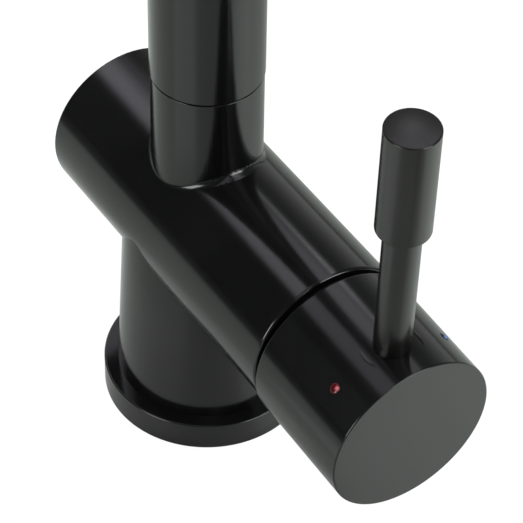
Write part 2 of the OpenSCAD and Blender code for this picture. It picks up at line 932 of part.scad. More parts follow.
// Aerator cup with rings of small holes in its outlet face
module aerator_insert() {
    plate = 2.2;
    cup_h = nozzle_flange_h + nozzle_thread_h - aerator_lip;
    color(white_plastic)
        translate([0, outlet_y, handset_bottom + aerator_lip])
            difference() {
                cylinder(r = aerator_r - fit, h = cup_h);
                translate([0, 0, plate]) cylinder(r = aerator_r - 1.2, h = cup_h);
                translate([0, 0, -past]) cylinder(r = 0.7, h = plate + 2 * past);
                for (k = [1 : 3])
                    for (a = [0 : 60 / k : 359])
                        rotate([0, 0, a])
                            translate([2.6 * k, 0, -past]) cylinder(r = 0.7, h = plate + 2 * past);
            }
}

body_casting();
base_ring();
base_seal();
threaded_shank();
inlet_block();
port_seals();
rubber_washer();
clamp_washer();
back_nut();
clamp_screws();
cartridge_base();
cartridge_seals();
cartridge_housing();
fixed_disc();
retaining_nut();
bonnet_ring();
spout_stop_screw();
cartridge_rotor();
pivot_pin();
moving_disc();
disc_carrier();
cartridge_stem();
handle_cap();
lever_rod();
lever_grip();
cap_grub_screw();
hot_mark();
cold_mark();
spout_tube();
spout_bush();
swivel_rings();
swivel_washer();
docking_sleeve();
handset_shell();
handset_connector();
check_valve();
hose_washer();
nozzle_ring();
aerator_insert();
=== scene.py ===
# %% [markdown]
# # A black kitchen mixer tap with a side lever
# The tap is a round pedestal, a level barrel, a short collar with a tall spout tube, and a
# lever cap on the barrel's right-hand end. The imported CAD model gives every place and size.
# This lesson gives its pieces the smooth gloss and the fine coating of a real tap, and cuts
# the thread of its fixing shank. Lengths are written in millimetres, and `MM` turns them to
# Blender's metres.

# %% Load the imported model
import json
import math

import bmesh
import bpy
import numpy as np
from mathutils import Matrix, Vector


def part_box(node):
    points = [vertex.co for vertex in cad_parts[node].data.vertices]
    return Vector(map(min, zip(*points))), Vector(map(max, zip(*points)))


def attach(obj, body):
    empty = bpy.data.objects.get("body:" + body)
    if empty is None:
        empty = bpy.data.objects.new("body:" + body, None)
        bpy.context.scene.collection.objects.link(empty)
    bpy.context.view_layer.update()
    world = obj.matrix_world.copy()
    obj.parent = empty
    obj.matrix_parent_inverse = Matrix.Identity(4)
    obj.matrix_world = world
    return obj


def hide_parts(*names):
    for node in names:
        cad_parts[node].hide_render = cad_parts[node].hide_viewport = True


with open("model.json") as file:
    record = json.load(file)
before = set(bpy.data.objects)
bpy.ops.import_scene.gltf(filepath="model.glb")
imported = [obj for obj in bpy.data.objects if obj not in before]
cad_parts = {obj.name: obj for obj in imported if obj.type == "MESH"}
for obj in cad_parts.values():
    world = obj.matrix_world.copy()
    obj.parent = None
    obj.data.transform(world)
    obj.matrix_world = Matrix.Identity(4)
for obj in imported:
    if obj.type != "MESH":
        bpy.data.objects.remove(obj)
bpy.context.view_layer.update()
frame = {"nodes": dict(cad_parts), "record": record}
MM = 0.001
DEGREES = 180 / math.pi
MIDDLE, X_AXIS, Z_AXIS = (0, 0, 0), (1, 0, 0), (0, 0, 1)

# %% [markdown]
# ## The sizes that the pieces share
# A piece made here has to sit where the CAD solid sits, so its sizes are read from the boxes of
# the nodes wherever a box gives them. The rest repeat the CAD values, such as the lean of the
# lever when the water is off.

# %% Read the main sizes
def span(node, axis):
    """Lowest and highest coordinate of a CAD node along an axis, in millimetres."""
    low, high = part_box(node)
    return low[axis] / MM, high[axis] / MM


BASE_H = span("base_ring", 2)[1]
BASE_R = span("base_ring", 0)[1]
BARREL_Z = 60.9
BARREL_BACK, BARREL_MOUTH = -39.4, 54.7
BARREL_R = 21.2
COLLAR_R = 13.8
FOOT_R, NECK_R = 23.2, 21.0
FILLET, FILLET_SINK = 2.4, 0.1
SEAM_Z = span("body_casting", 2)[1]
TUBE_R = span("spout_tube", 0)[1]
TUBE_FOOT = span("swivel_washer", 2)[1]
PIVOT_X = 36.0
LEAN = math.radians(1.85)
CAP_R, CAP_WALL = 21.7, 1.5
CAP_RIM, CAP_FACE = 19.8, 52.9
LEVER_X = 42.6
ROD_R, GRIP_R = 4.5, 6.5
GRIP_FOOT, GRIP_TOP = 59.4, 89.5
print("base", BASE_R * 2, "seam at", SEAM_Z, "tube", TUBE_R * 2)

# %% [markdown]
# ## The camera
# The view is the photograph's: from the right and the front, 44 degrees above the worktop. It
# was found by fitting the outlines of the cylinders. The long lens keeps them nearly parallel.

# %% Place the camera
FRAME_PIXELS = 523
FOCAL_PIXELS = 2850.8
SENSOR = 36.0
EYE = Vector((436.414, -274.681, 551.170)) * MM
LOOK = Vector((-0.59141, 0.39483, -0.70309)).normalized()
ROLL = math.radians(1.1905)


def in_scene(thing):
    """Adds an object to the scene."""
    bpy.context.scene.collection.objects.link(thing)
    return thing


def camera_axes(look, roll):
    """Right, up and back of a camera that looks along `look`, turned by `roll`."""
    level = look.cross(Vector(Z_AXIS)).normalized()
    above = level.cross(look)
    right = level * math.cos(roll) + above * math.sin(roll)
    return right, above * math.cos(roll) - level * math.sin(roll), -look


camera_data = bpy.data.cameras.new("camera")
camera_data.sensor_width = SENSOR
camera_data.lens = SENSOR * FOCAL_PIXELS / FRAME_PIXELS
camera_data.clip_start = 20 * MM
camera = in_scene(bpy.data.objects.new("camera", camera_data))
facing = Matrix(camera_axes(LOOK, ROLL)).transposed().to_4x4()
camera.matrix_world = Matrix.Translation(EYE) @ facing
bpy.context.scene.camera = camera
print("lens", round(camera_data.lens, 1), "mm")

# %% [markdown]
# ## Node trees as plain expressions
# A finish is a small sum: a base colour, a little noise, a mask. Written as nodes it is hard to
# read, so one class wraps a socket and gives it + - * /, and one method adds any other node.
# The same two classes fill the Geometry Nodes trees further down.

# %% The socket that does sums
class Signal:
    """A node's output, with the arithmetic that the trees use."""

    def __init__(self, tree, socket):
        self.tree = tree
        self.socket = socket

    def __add__(self, other):
        return self.tree.maths("ADD", self, other)

    __radd__ = __add__

    def __sub__(self, other):
        return self.tree.maths("SUBTRACT", self, other)

    def __rsub__(self, other):
        return self.tree.maths("SUBTRACT", other, self)

    def __mul__(self, other):
        return self.tree.maths("MULTIPLY", self, other)

    __rmul__ = __mul__

    def __truediv__(self, other):
        return self.tree.maths("DIVIDE", self, other)

    def steps(self, low, high):
        """0 below low, 1 above high and smooth between, where low may be the greater."""
        kind = {"interpolation_type": "SMOOTHSTEP"}
        ends = {"Value": self, "From Min": low, "From Max": high}
        return self.tree.add("ShaderNodeMapRange", kind, ends)

    def between(self, start, full, hold, end):
        """1 from full to hold, fading to 0 at the start and at the end."""
        return self.steps(start, full) * self.steps(end, hold)


class Nodes:
    """A node tree that is filled through one method, with short names for common nodes."""

    def __init__(self, tree):
        self.tree = tree
        tree.nodes.clear()

    def add(self, kind, settings=None, inputs=None, out=0):
        """Any node: its settings come first, then the values and links of its sockets."""
        node = self.tree.nodes.new(kind)
        for name, value in (settings or {}).items():
            if name == "stops":
                for stop, (place, colour) in zip(self.stops(node, len(value)), value):
                    stop.position = place
                    stop.color = (*colour, 1)
            else:
                setattr(node, name, value)
        for name, value in (inputs or {}).items():
            socket = node.inputs[name]
            if isinstance(value, Signal):
                self.tree.links.new(value.socket, socket)
            elif socket.type == "RGBA" and len(value) == 3:
                socket.default_value = (*value, 1)
            else:
                socket.default_value = value
        return Signal(self, node.outputs[out]) if node.outputs else node

    @staticmethod
    def stops(ramp, count):
        """The stops of a colour ramp, as many as are asked for."""
        while len(ramp.color_ramp.elements) < count:
            ramp.color_ramp.elements.new(0.5)
        return ramp.color_ramp.elements

    def maths(self, operation, first, second):
        """A number worked out from two numbers."""
        return self.add("ShaderNodeMath", {"operation": operation}, {0: first, 1: second})

    def vector(self, operation, first, second=MIDDLE):
        """A number worked out from two vectors."""
        kind = {"operation": operation}
        return self.add("ShaderNodeVectorMath", kind, {0: first, 1: second}, out="Value")

    def split(self, vector):
        """X, Y and Z of a vector."""
        node = self.add("ShaderNodeSeparateXYZ", {}, {0: vector}).socket.node
        return [Signal(self, output) for output in node.outputs]

    def bearing(self, x, y):
        """Degrees round from the front, which is -Y, towards the right."""
        return self.maths("ARCTAN2", x, y * -1) * DEGREES

    def blend(self, share, first, second):
        """Colour between first and second."""
        ends = {0: share, 6: first, 7: second}
        return self.add("ShaderNodeMix", {"data_type": "RGBA"}, ends, out=2)

    def place(self):
        """The object's own coordinates, in metres."""
        return self.add("ShaderNodeTexCoord", out="Object")

    def ray(self, kind):
        """1 for rays of one kind, such as "Is Camera Ray"."""
        return self.add("ShaderNodeLightPath", out=kind)

    def noise(self, scale, detail, stretch):
        """Noise on the object's own coordinates, in grains per metre."""
        place = self.add("ShaderNodeMapping", {}, {"Vector": self.place(), "Scale": stretch})
        inputs = {"Vector": place, "Scale": scale, "Detail": detail}
        return self.add("ShaderNodeTexNoise", {}, inputs)


# %% [markdown]
# ## Finishes
# The black coat on a tap is a hard gloss over brass: nearly no colour of its own, a clear
# reflection, and a very fine grain from spraying that only shows in the bright bands. The
# grain goes into roughness and bump, and never into a painted reflection, so the same coat
# works in any light.

# %% Build the finishes
BROAD_SIZE, BUMP_HEIGHT = 40, 0.00002
FINE_ROUGHENS, BROAD_ROUGHENS = 0.08, 0.05
COAT_IOR = 1.55
PLAIN, LATHE_MARKS = (1, 1, 1), (1, 1, 9)
# Where the painted highlight sits on a jewel, from the middle of its box, and how far round it
# reaches
HIGHLIGHT_X, HIGHLIGHT_Y, HIGHLIGHT_Z = 0.62, 0.10, 0.68
HIGHLIGHT_EDGE, HIGHLIGHT_CORE = 0.0008, 0.0002


def new_material(name):
    """A material, and its empty node tree."""
    material = bpy.data.materials.new(name)
    material.use_nodes = True
    return material, Nodes(material.node_tree)


def principled(name, colour, roughness, metallic=0.0, grain=0.0, grain_size=900, shade=0.0,
               stretch=PLAIN, ior=None):
    """A finish whose colour and roughness vary a little, with a fine bump."""
    material, nodes = new_material(name)
    broad = nodes.noise(BROAD_SIZE, 3, stretch)
    fine = nodes.noise(grain_size, 2, stretch)
    darker = [c * (1 - shade) for c in colour]
    lighter = [min(1, c * (1 + shade)) for c in colour]
    inputs = {
        "Base Color": nodes.blend(broad.steps(0.3, 0.7), darker, lighter),
        "Roughness": roughness + (fine - 0.5) * FINE_ROUGHENS + (broad - 0.5) * BROAD_ROUGHENS,
        "Metallic": metallic,
    }
    if grain:
        bump = {"Strength": grain, "Distance": BUMP_HEIGHT, "Height": fine}
        inputs["Normal"] = nodes.add("ShaderNodeBump", {}, bump)
    if ior:
        inputs["IOR"] = ior
    shader = nodes.add("ShaderNodeBsdfPrincipled", {}, inputs)
    nodes.add("ShaderNodeOutputMaterial", {}, {"Surface": shader})
    return material


def clear_jewel(name, deep, painted_highlight, node, side):
    """Clear coloured plastic in its own deep colour, with a painted highlight: bright round a
    fixed spot on the dome.
    """
    material, nodes = new_material(name)
    low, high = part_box(node)
    middle = (Vector(low) + Vector(high)) / 2
    # Painted highlight: the base colour turns bright round this fixed spot on the dome
    highlight_place = middle + Vector((HIGHLIGHT_X, -HIGHLIGHT_Y * side, HIGHLIGHT_Z)) * MM
    away = nodes.vector("DISTANCE", nodes.place(), highlight_place)
    colour = nodes.blend(away.steps(HIGHLIGHT_EDGE, HIGHLIGHT_CORE), deep, painted_highlight)
    shader = nodes.add("ShaderNodeBsdfPrincipled", {}, {"Base Color": colour, "Roughness": 0.08})
    nodes.add("ShaderNodeOutputMaterial", {}, {"Surface": shader})
    return material


def black_coat(name, colour, roughness, grain):
    """The tap's black gloss."""
    return principled(name, colour, roughness, grain=grain, shade=0.3, ior=COAT_IOR)


def turned_metal(name, colour, roughness, shade):
    """Bare metal with fine marks round its axis."""
    return principled(name, colour, roughness, 1.0, 0.2, 1400, shade, LATHE_MARKS)


FINISH = {
    "black_metal": black_coat("black_metal", (0.0045, 0.0046, 0.0048), 0.15, 0.10),
    "black_lever": black_coat("black_lever", (0.0075, 0.0073, 0.0068), 0.24, 0.16),
    "brass": turned_metal("brass", (0.62, 0.43, 0.17), 0.3, 0.12),
    "steel": turned_metal("steel", (0.46, 0.47, 0.48), 0.32, 0.1),
    "rubber": principled("rubber", (0.012, 0.012, 0.012), 0.62, 0.0, 0.4, 1200, 0.25),
    "white_plastic": principled(
        "white_plastic", (0.72, 0.72, 0.69), 0.42, 0.0, 0.15, 1500, 0.04),
    "grey_plastic": principled(
        "grey_plastic", (0.17, 0.175, 0.19), 0.45, 0.0, 0.2, 1500, 0.06),
    "black_plastic": principled(
        "black_plastic", (0.006, 0.006, 0.006), 0.38, 0.0, 0.2, 1500, 0.2),
    "ceramic": principled("ceramic", (0.78, 0.75, 0.68), 0.16, 0.0, 0.05, 1500, 0.03),
    "red_jewel": clear_jewel(
        "red_jewel", (0.085, 0.002, 0.004), (0.62, 0.20, 0.22), "hot_mark", 1),
    "blue_jewel": clear_jewel(
        "blue_jewel", (0.010, 0.026, 0.075), (0.15, 0.25, 0.5), "cold_mark", -1),
}
SLOT_OF = {part["node"]: part["material_slot"] for part in frame["record"]["subparts"]}
BODY_OF = {
    node: body for body, nodes in frame["record"]["behaviour"]["bodies"].items()
    for node in nodes}
for node, solid in frame["nodes"].items():
    solid.data.materials.clear()
    solid.data.materials.append(FINISH[SLOT_OF[node]])
print(len(FINISH), "finishes")

# %% [markdown]
# ## Smooth skins over CAD solids
# A CAD mesh is loose triangles. On a gloss coat every facet would show, so the solids that are
# seen are copied, their doubles merged, and each corner is given the exact normal of the
# cylinder, cone, round or plane that it lies on. The CAD's own shape doesn't change. A skin
# here is a function: for some points it gives how far each misses the surface, and its normal.

# %% Surfaces that know their own normals
EDGE_SLACK = 0.02
TRACK_STEP = 0.25


def frame_of(origin, axis):
    """Points in millimetres, given from an origin: distance along an axis, and the rest."""
    origin, axis = np.array(origin, float), np.array(axis, float)

    def split(points):
        away = points - origin
        along = away @ axis
        return along, away - along[:, None] * axis

    return split, axis


def cylinder_skin(origin, axis, radius):
    """A cylinder of this radius about an axis."""
    split, _ = frame_of(origin, axis)

    def skin(points):
        _, out = split(points)
        far = np.linalg.norm(out, axis=1)
        return abs(far - radius), out / far[:, None]

    return skin


def cone_skin(low_radius, high_radius, low, high):
    """A cone about the Z axis between two heights."""
    slope = (low_radius - high_radius) / (high - low)

    def skin(points):
        far = np.hypot(points[:, 0], points[:, 1])
        miss = abs(far - low_radius + slope * (points[:, 2] - low)) / math.hypot(1, slope)
        normal = np.column_stack([points[:, :2] / far[:, None], np.full(len(points), slope)])
        return miss, normal / np.linalg.norm(normal, axis=1)[:, None]

    return skin


def plane_skin(origin, axis):
    """The flat surface through a point, square to an axis."""
    split, axis = frame_of(origin, axis)

    def skin(points):
        along, _ = split(points)
        return abs(along), np.broadcast_to(axis, points.shape)

    return skin


def round_skin(origin, axis, ring_radius, at, radius):
    """The rounded edge of a turned piece, about a ring of its own."""
    split, axis = frame_of(origin, axis)

    def skin(points):
        along, out = split(points)
        far = np.linalg.norm(out, axis=1)
        lean = np.column_stack([far - ring_radius, along - at])
        size = np.maximum(np.linalg.norm(lean, axis=1), 1e-9)
        normal = ((out / far[:, None]) * lean[:, :1] / size[:, None]
                  + axis * lean[:, 1:] / size[:, None])
        upper = (lean > -EDGE_SLACK).all(axis=1)
        lower = (lean * [1, -1] > -EDGE_SLACK).all(axis=1)
        return abs(size - radius) + ~(upper | lower), normal

    return skin


def rolling_skin(small, big, radius, height):
    """The fillet that a ball leaves where it rolls round an upright and a level cylinder."""
    turns = np.radians(np.arange(0, 360, TRACK_STEP))
    reach = small + radius
    side = reach * np.sin(turns)
    rise = height + np.sqrt((big + radius) ** 2 - side ** 2)
    track = np.column_stack([reach * np.cos(turns), side, rise])

    def skin(points):
        gap = np.linalg.norm(points[:, None, :] - track[None], axis=2)
        near = gap.argmin(axis=1)
        to_ball = track[near] - points
        far = gap[np.arange(len(points)), near]
        return abs(far - radius), to_ball / far[:, None]

    return skin


# %% [markdown]
# ## The copy that wears the skins
# Where no skin is near, as on a flat end or a hidden hollow, a corner takes the mean of the
# faces round it. Faces that turn by more than the crease angle are left out of that mean, which
# keeps real edges crisp.

# %% Copy a solid and give its corners their normals
CREASE = math.radians(33)
SKIN_REACH = 0.012
FACES_SKIN = 0.9
MERGE, DEGENERATE = 3e-6, 1e-7


def reshape(mesh, change, source=None):
    """Makes a change to the mesh, or to a copy of the source, as an editable bmesh."""
    shape = bmesh.new()
    shape.from_mesh(source or mesh)
    change(shape)
    shape.to_mesh(mesh)
    shape.free()
    return mesh


def merged(shape):
    """Joins doubles and drops faces without area."""
    bmesh.ops.remove_doubles(shape, verts=shape.verts, dist=MERGE)
    bmesh.ops.dissolve_degenerate(shape, dist=DEGENERATE, edges=shape.edges)
    bmesh.ops.triangulate(shape, faces=shape.faces)


def smooth_copy(node, name, skins=()):
    """A merged copy of a CAD node, shaded by the skins it lies on and else by its own angles."""
    mesh = reshape(bpy.data.meshes.new(name), merged, frame["nodes"][node].data)
    points = np.empty(len(mesh.vertices) * 3)
    mesh.vertices.foreach_get("co", points)
    points = points.reshape(-1, 3) / MM
    corners = np.empty(len(mesh.loops), int)
    mesh.loops.foreach_get("vertex_index", corners)
    faces = corners.reshape(-1, 3)
    first, second, third = (points[faces[:, k]] for k in range(3))
    cross = np.cross(second - first, third - first)
    area = np.linalg.norm(cross, axis=1)
    flat = cross / np.maximum(area, 1e-12)[:, None]
    normals = crease_normals(faces, flat, area, len(points))
    best = np.full(len(faces), SKIN_REACH)
    for skin in skins:
        miss, normal = skin(points)
        worst = miss[faces].max(axis=1)
        whole = normal[faces]
        facing = np.einsum("ij,ij->i", whole.mean(axis=1), flat)
        take = (worst < best) & (abs(facing) > FACES_SKIN)
        best = np.where(take, worst, best)
        normals[take] = whole[take] * np.sign(facing[take])[:, None, None]
    mesh.polygons.foreach_set("use_smooth", np.ones(len(mesh.polygons), bool))
    mesh.normals_split_custom_set(normals.reshape(-1, 3))
    return mesh


def crease_normals(faces, flat, area, count):
    """For each corner, the mean of the faces round it that turn less than the crease."""
    around = [[] for _ in range(count)]
    for index, face in enumerate(faces):
        for corner in face:
            around[corner].append(index)
    limit = math.cos(CREASE)
    normals = np.empty((len(faces), 3, 3))
    for index, face in enumerate(faces):
        for place, corner in enumerate(face):
            near = np.array(around[corner])
            near = near[flat[near] @ flat[index] > limit]
            total = (flat[near] * area[near][:, None]).sum(axis=0)
            size = np.linalg.norm(total)
            normals[index, place] = total / size if size > 1e-12 else flat[index]
    return normals


def piece(mesh, name, slot_name, body, *nodes):
    """Puts a finished mesh in the scene, on its body, in place of its CAD nodes."""
    mesh.materials.clear()
    mesh.materials.append(FINISH[slot_name])
    made = in_scene(bpy.data.objects.new(name, mesh))
    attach(made, body)
    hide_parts(*nodes)
    print(name, len(mesh.polygons), "faces")
    return made


# %% [markdown]
# ## The body
# Pedestal, barrel and collar are one brass casting, turned and polished before it is coated.
# The pedestal meets the barrel in a plain crease, and the collar meets it in a small fillet.

# %% Make the body
BARREL_MID = (0, 0, BARREL_Z)
BACK_ROUND, MOUTH_ROUND, SEAM_ROUND = 0.5, 0.8, 0.2


def edge_skin(origin, axis, radius, at, size):
    """A turned piece's edge at `at`, rounded by `size`: below 0 for the edge at its low end."""
    return round_skin(origin, axis, radius - abs(size), at - size, abs(size))


body_skins = [
    cylinder_skin(BARREL_MID, X_AXIS, BARREL_R),
    cylinder_skin(MIDDLE, Z_AXIS, COLLAR_R),
    cone_skin(FOOT_R, NECK_R, BASE_H, BARREL_Z),
    plane_skin((BARREL_BACK, 0, 0), X_AXIS),
    plane_skin((BARREL_MOUTH, 0, 0), X_AXIS),
    plane_skin((0, 0, SEAM_Z), Z_AXIS),
    edge_skin(BARREL_MID, X_AXIS, BARREL_R, BARREL_BACK, -BACK_ROUND),
    edge_skin(BARREL_MID, X_AXIS, BARREL_R, BARREL_MOUTH, MOUTH_ROUND),
    edge_skin(MIDDLE, Z_AXIS, COLLAR_R, SEAM_Z, SEAM_ROUND),
    rolling_skin(COLLAR_R - FILLET_SINK, BARREL_R - FILLET_SINK, FILLET, BARREL_Z),
]
body_mesh = smooth_copy("body_casting", "body", body_skins)
piece(body_mesh, "body", "black_metal", "tap_body", "body_casting")

# %% [markdown]
# ## The lever cap
# The cap leans by about two degrees with the water off, so its skins are set out along the
# leaning axis from the lever's pivot.

# %% Make the cap
CAP_ROUND = 0.4
PIVOT = np.array((PIVOT_X, 0, BARREL_Z))
CAP_AXIS = np.array((math.cos(LEAN), 0, -math.sin(LEAN)))
LEVER_UP = np.array((math.sin(LEAN), 0, math.cos(LEAN)))
cap_skins = [
    cylinder_skin(PIVOT, CAP_AXIS, CAP_R),
    cylinder_skin(PIVOT, CAP_AXIS, CAP_R - CAP_WALL),
    plane_skin(PIVOT + CAP_AXIS * CAP_FACE, CAP_AXIS),
    plane_skin(PIVOT + CAP_AXIS * CAP_RIM, CAP_AXIS),
    edge_skin(PIVOT, CAP_AXIS, CAP_R, CAP_RIM, -CAP_ROUND),
    edge_skin(PIVOT, CAP_AXIS, CAP_R, CAP_FACE, CAP_ROUND),
]
cap_mesh = smooth_copy("handle_cap", "cap", cap_skins)
piece(cap_mesh, "cap", "black_metal", "handle", "handle_cap")

# %% [markdown]
# ## Turned pieces
# Rings, the lever rod, the grip and the handset are all made on a lathe. Here too: an outline
# of radius and height is turned about an axis. Sharp corners are given a small round first,
# because a coat of paint never leaves a knife edge, and that round is what catches the light.

# %% The lathe
ROUND_STEPS = 6
TINY = 1e-6
MUCH_LONGER = 3


def rounded(outline):
    """Outline points (radius, height, round): each corner becomes an arc of that round."""
    points = []
    count = len(outline)
    for index, (r, z, round_r) in enumerate(outline):
        here = np.array((r, z), float)
        before = np.array(outline[index - 1][:2], float) - here
        after = np.array(outline[(index + 1) % count][:2], float) - here
        if not round_r:
            points.append(here)
            continue
        a, b = before / np.linalg.norm(before), after / np.linalg.norm(after)
        half = math.acos(max(-1, min(1, float(a @ b)))) / 2
        cut = round_r / math.tan(half)
        centre = here + (a + b) / np.linalg.norm(a + b) * round_r / math.sin(half)
        start, end = here + a * cut - centre, here + b * cut - centre
        sweep = math.atan2(start[0] * end[1] - start[1] * end[0], float(start @ end))
        for step in range(ROUND_STEPS + 1):
            t = sweep * step / ROUND_STEPS
            c, s = math.cos(t), math.sin(t)
            points.append(centre + (start[0] * c - start[1] * s, start[0] * s + start[1] * c))
    return np.array(points)


def lathe(name, outline, origin=MIDDLE, axis=Z_AXIS, turns=144):
    """Turns a closed outline, listed with the material on its left, about an axis."""
    line = rounded(outline)
    count = len(line)
    edge = np.roll(line, -1, axis=0) - line
    length = np.linalg.norm(edge, axis=1)
    out = np.column_stack([edge[:, 1], -edge[:, 0]]) / np.maximum(length, 1e-9)[:, None]
    upright = np.array(Vector(Z_AXIS).rotation_difference(Vector(axis)).to_matrix()).T
    angle = np.arange(turns) * 2 * math.pi / turns
    spoke = np.column_stack([np.cos(angle), np.sin(angle)])
    turned = np.array([[(*(s * r), z) for r, z in line] for s in spoke]).reshape(-1, 3)
    turned = turned @ upright + np.array(origin)
    on_axis = line[:, 0] < TINY
    faces, normals = [], []
    for k in range(turns):
        k2 = (k + 1) % turns
        for i in range(count):
            j = (i + 1) % count
            if on_axis[i] and on_axis[j] or length[i] < TINY:
                continue
            ends = [(i, k), (i, k2), (j, k2), (j, k)]
            if on_axis[i]:
                ends = [(i, k), (j, k2), (j, k)]
            elif on_axis[j]:
                ends = [(i, k), (i, k2), (j, k)]
            faces.append([b * count + a for a, b in ends])
            for a, b in ends:
                flat = corner_normal(out, length, i, a)
                normals.append((*(spoke[b] * flat[0]), flat[1]))
    mesh = bpy.data.meshes.new(name)
    mesh.from_pydata((turned * MM).tolist(), [], faces)
    mesh.polygons.foreach_set("use_smooth", np.ones(len(faces), bool))
    mesh.normals_split_custom_set((np.array(normals) @ upright).tolist())
    return reshape(mesh, closed_poles)


def corner_normal(out, length, segment, point):
    """Normal of a segment at one of its points: shared with the next one where it is smooth."""
    count = len(out)
    other = (segment - 1) % count if point == segment else (segment + 1) % count
    mine, its = out[segment], out[other]
    if float(mine @ its) < math.cos(CREASE) or length[other] < TINY:
        return mine
    if length[segment] > MUCH_LONGER * length[other]:
        return mine
    if length[other] > MUCH_LONGER * length[segment]:
        return its
    both = mine + its
    return both / np.linalg.norm(both)


def closed_poles(shape):
    """Joins the copies of a point on the axis."""
    bmesh.ops.remove_doubles(shape, verts=shape.verts, dist=DEGENERATE)


# %% [markdown]
# ## The base ring
# A wide ring under the pedestal hides the hole in the worktop. Its upper edge is rounded a
# little. A groove in its underside holds the rubber seal, and a seat on top takes the pedestal.

# %% Make the base ring
RING_BORE = 17.0
GROOVE_IN, GROOVE_OUT, GROOVE_DEEP = 20.25, 23.85, 2.2
SEAT_R, SEAT_Z = 20.05, BASE_H - 3.0
base_outline = [
    (RING_BORE, 0, 0.2), (GROOVE_IN, 0, 0), (GROOVE_IN, GROOVE_DEEP, 0),
    (GROOVE_OUT, GROOVE_DEEP, 0), (GROOVE_OUT, 0, 0), (BASE_R, 0, 0.4), (BASE_R, BASE_H, 0.45),
    (SEAT_R, BASE_H, 0.15), (SEAT_R, SEAT_Z, 0), (RING_BORE, SEAT_Z, 0.1)]
piece(lathe("flange", base_outline), "flange", "black_metal", "tap_body", "base_ring")

# %% [markdown]
# ## The lever
# The lever is a thin rod screwed into the cap, with a thicker plain grip on top. Both have
# small rounds at their ends. The rod stands in a close hole, which shows as a dark line.

# %% Make rod and grip
LEVER_FOOT = PIVOT + CAP_AXIS * LEVER_X
ROD_FOOT, ROD_SHOULDER = 11.5, 18.5
SPIGOT_R, SPIGOT_TOP = 3.0, GRIP_FOOT + 10
SOCKET_R, SOCKET_TOP = 3.05, GRIP_FOOT + 11
rod_outline = [
    (0, ROD_FOOT, 0), (SPIGOT_R, ROD_FOOT, 0.4), (SPIGOT_R, ROD_SHOULDER, 0),
    (ROD_R, ROD_SHOULDER, 0.2), (ROD_R, GRIP_FOOT, 0.1), (SPIGOT_R, GRIP_FOOT, 0),
    (SPIGOT_R, SPIGOT_TOP, 0.4), (0, SPIGOT_TOP, 0)]
grip_outline = [
    (SOCKET_R, GRIP_FOOT, 0.1), (GRIP_R, GRIP_FOOT, 0.4), (GRIP_R, GRIP_TOP, 0.4),
    (0, GRIP_TOP, 0), (0, SOCKET_TOP, 0), (SOCKET_R, SOCKET_TOP, 0)]
rod_mesh = lathe("lever_rod_turned", rod_outline, LEVER_FOOT, LEVER_UP)
piece(rod_mesh, "rod", "black_lever", "handle", "lever_rod")
grip_mesh = lathe("lever_grip_turned", grip_outline, LEVER_FOOT, LEVER_UP)
piece(grip_mesh, "grip", "black_lever", "handle", "lever_grip")

# %% [markdown]
# ## The coloured marks
# Two small jewels are pressed into the cap, red for hot and blue for cold. Each is a dome.

# %% Make the marks
JEWEL_ANGLE = math.radians(45)
JEWEL_R, JEWEL_FOOT, JEWEL_SEAT, JEWEL_TOP = 1.3, -1, -0.04, 0.35
DOME_STEPS = 8


def jewel(name, side):
    """A domed pin, 45 degrees round the cap to one side of the lever."""
    angle = JEWEL_ANGLE * side
    sideways = np.cross(LEVER_UP, CAP_AXIS)
    out = LEVER_UP * math.cos(angle) - sideways * math.sin(angle)
    outline = [(0, JEWEL_FOOT, 0), (JEWEL_R, JEWEL_FOOT, 0.1), (JEWEL_R, JEWEL_SEAT, 0)]
    for step in range(1, DOME_STEPS):
        t = math.radians(90) * step / DOME_STEPS
        height = JEWEL_SEAT + (JEWEL_TOP - JEWEL_SEAT) * math.sin(t)
        outline.append((JEWEL_R * math.cos(t), height, 0))
    outline.append((0, JEWEL_TOP, 0))
    return lathe(name, outline, LEVER_FOOT + out * CAP_R, out, turns=48)


piece(jewel("jewel_hot", 1), "hot_jewel", "red_jewel", "handle", "hot_mark")
piece(jewel("jewel_cold", -1), "cold_jewel", "blue_jewel", "handle", "cold_mark")

# %% [markdown]
# ## The spout tube
# The tube follows a path: straight up, round the arch and down the outlet leg. Geometry Nodes
# make the path from named sizes and sweep a circle along it. A Solidify modifier then gives
# the wall, inwards, with a rim at both ends.

# %% Helpers for Geometry Nodes
def geometry_tree(name, sizes):
    """An empty tree with a named input for each size, and those inputs."""
    tree = bpy.data.node_groups.new(name, "GeometryNodeTree")
    nodes = Nodes(tree)
    tree.interface.new_socket("Geometry", in_out="INPUT", socket_type="NodeSocketGeometry")
    for label, value in sizes.items():
        kind = "NodeSocketInt" if isinstance(value, int) else "NodeSocketFloat"
        socket = tree.interface.new_socket(label, in_out="INPUT", socket_type=kind)
        socket.default_value = value
    tree.interface.new_socket("Geometry", in_out="OUTPUT", socket_type="NodeSocketGeometry")
    group = tree.nodes.new("NodeGroupInput")
    return nodes, {label: Signal(nodes, group.outputs[label]) for label in sizes}


def sweep_out(nodes, path, profile, finish, caps):
    """Sweeps a profile along a path, coats it and sends it out of the tree."""
    swept = nodes.add("GeometryNodeCurveToMesh", {}, {
        "Curve": path, "Profile Curve": profile, "Fill Caps": caps})
    real = nodes.add("GeometryNodeRealizeInstances", {}, {"Geometry": swept})
    coated = nodes.add("GeometryNodeSetMaterial", {}, {"Geometry": real, "Material": finish})
    nodes.add("NodeGroupOutput", {}, {"Geometry": coated})
    return nodes.tree


def baked(holder):
    """The plain mesh that an object's modifier makes. The object itself goes."""
    depsgraph = bpy.context.evaluated_depsgraph_get()
    result = bpy.data.meshes.new_from_object(holder.evaluated_get(depsgraph))
    bpy.data.objects.remove(holder)
    return result


def grow(tree, name, sizes):
    """Runs a tree on an empty mesh and returns the plain mesh that it makes."""
    seed = in_scene(bpy.data.objects.new(name, bpy.data.meshes.new(name)))
    modifier = seed.modifiers.new("tree", "NODES")
    modifier.node_group = tree
    for item in tree.interface.items_tree:
        if item.in_out == "INPUT" and item.name in sizes:
            modifier[item.identifier] = sizes[item.name]
    return baked(seed)


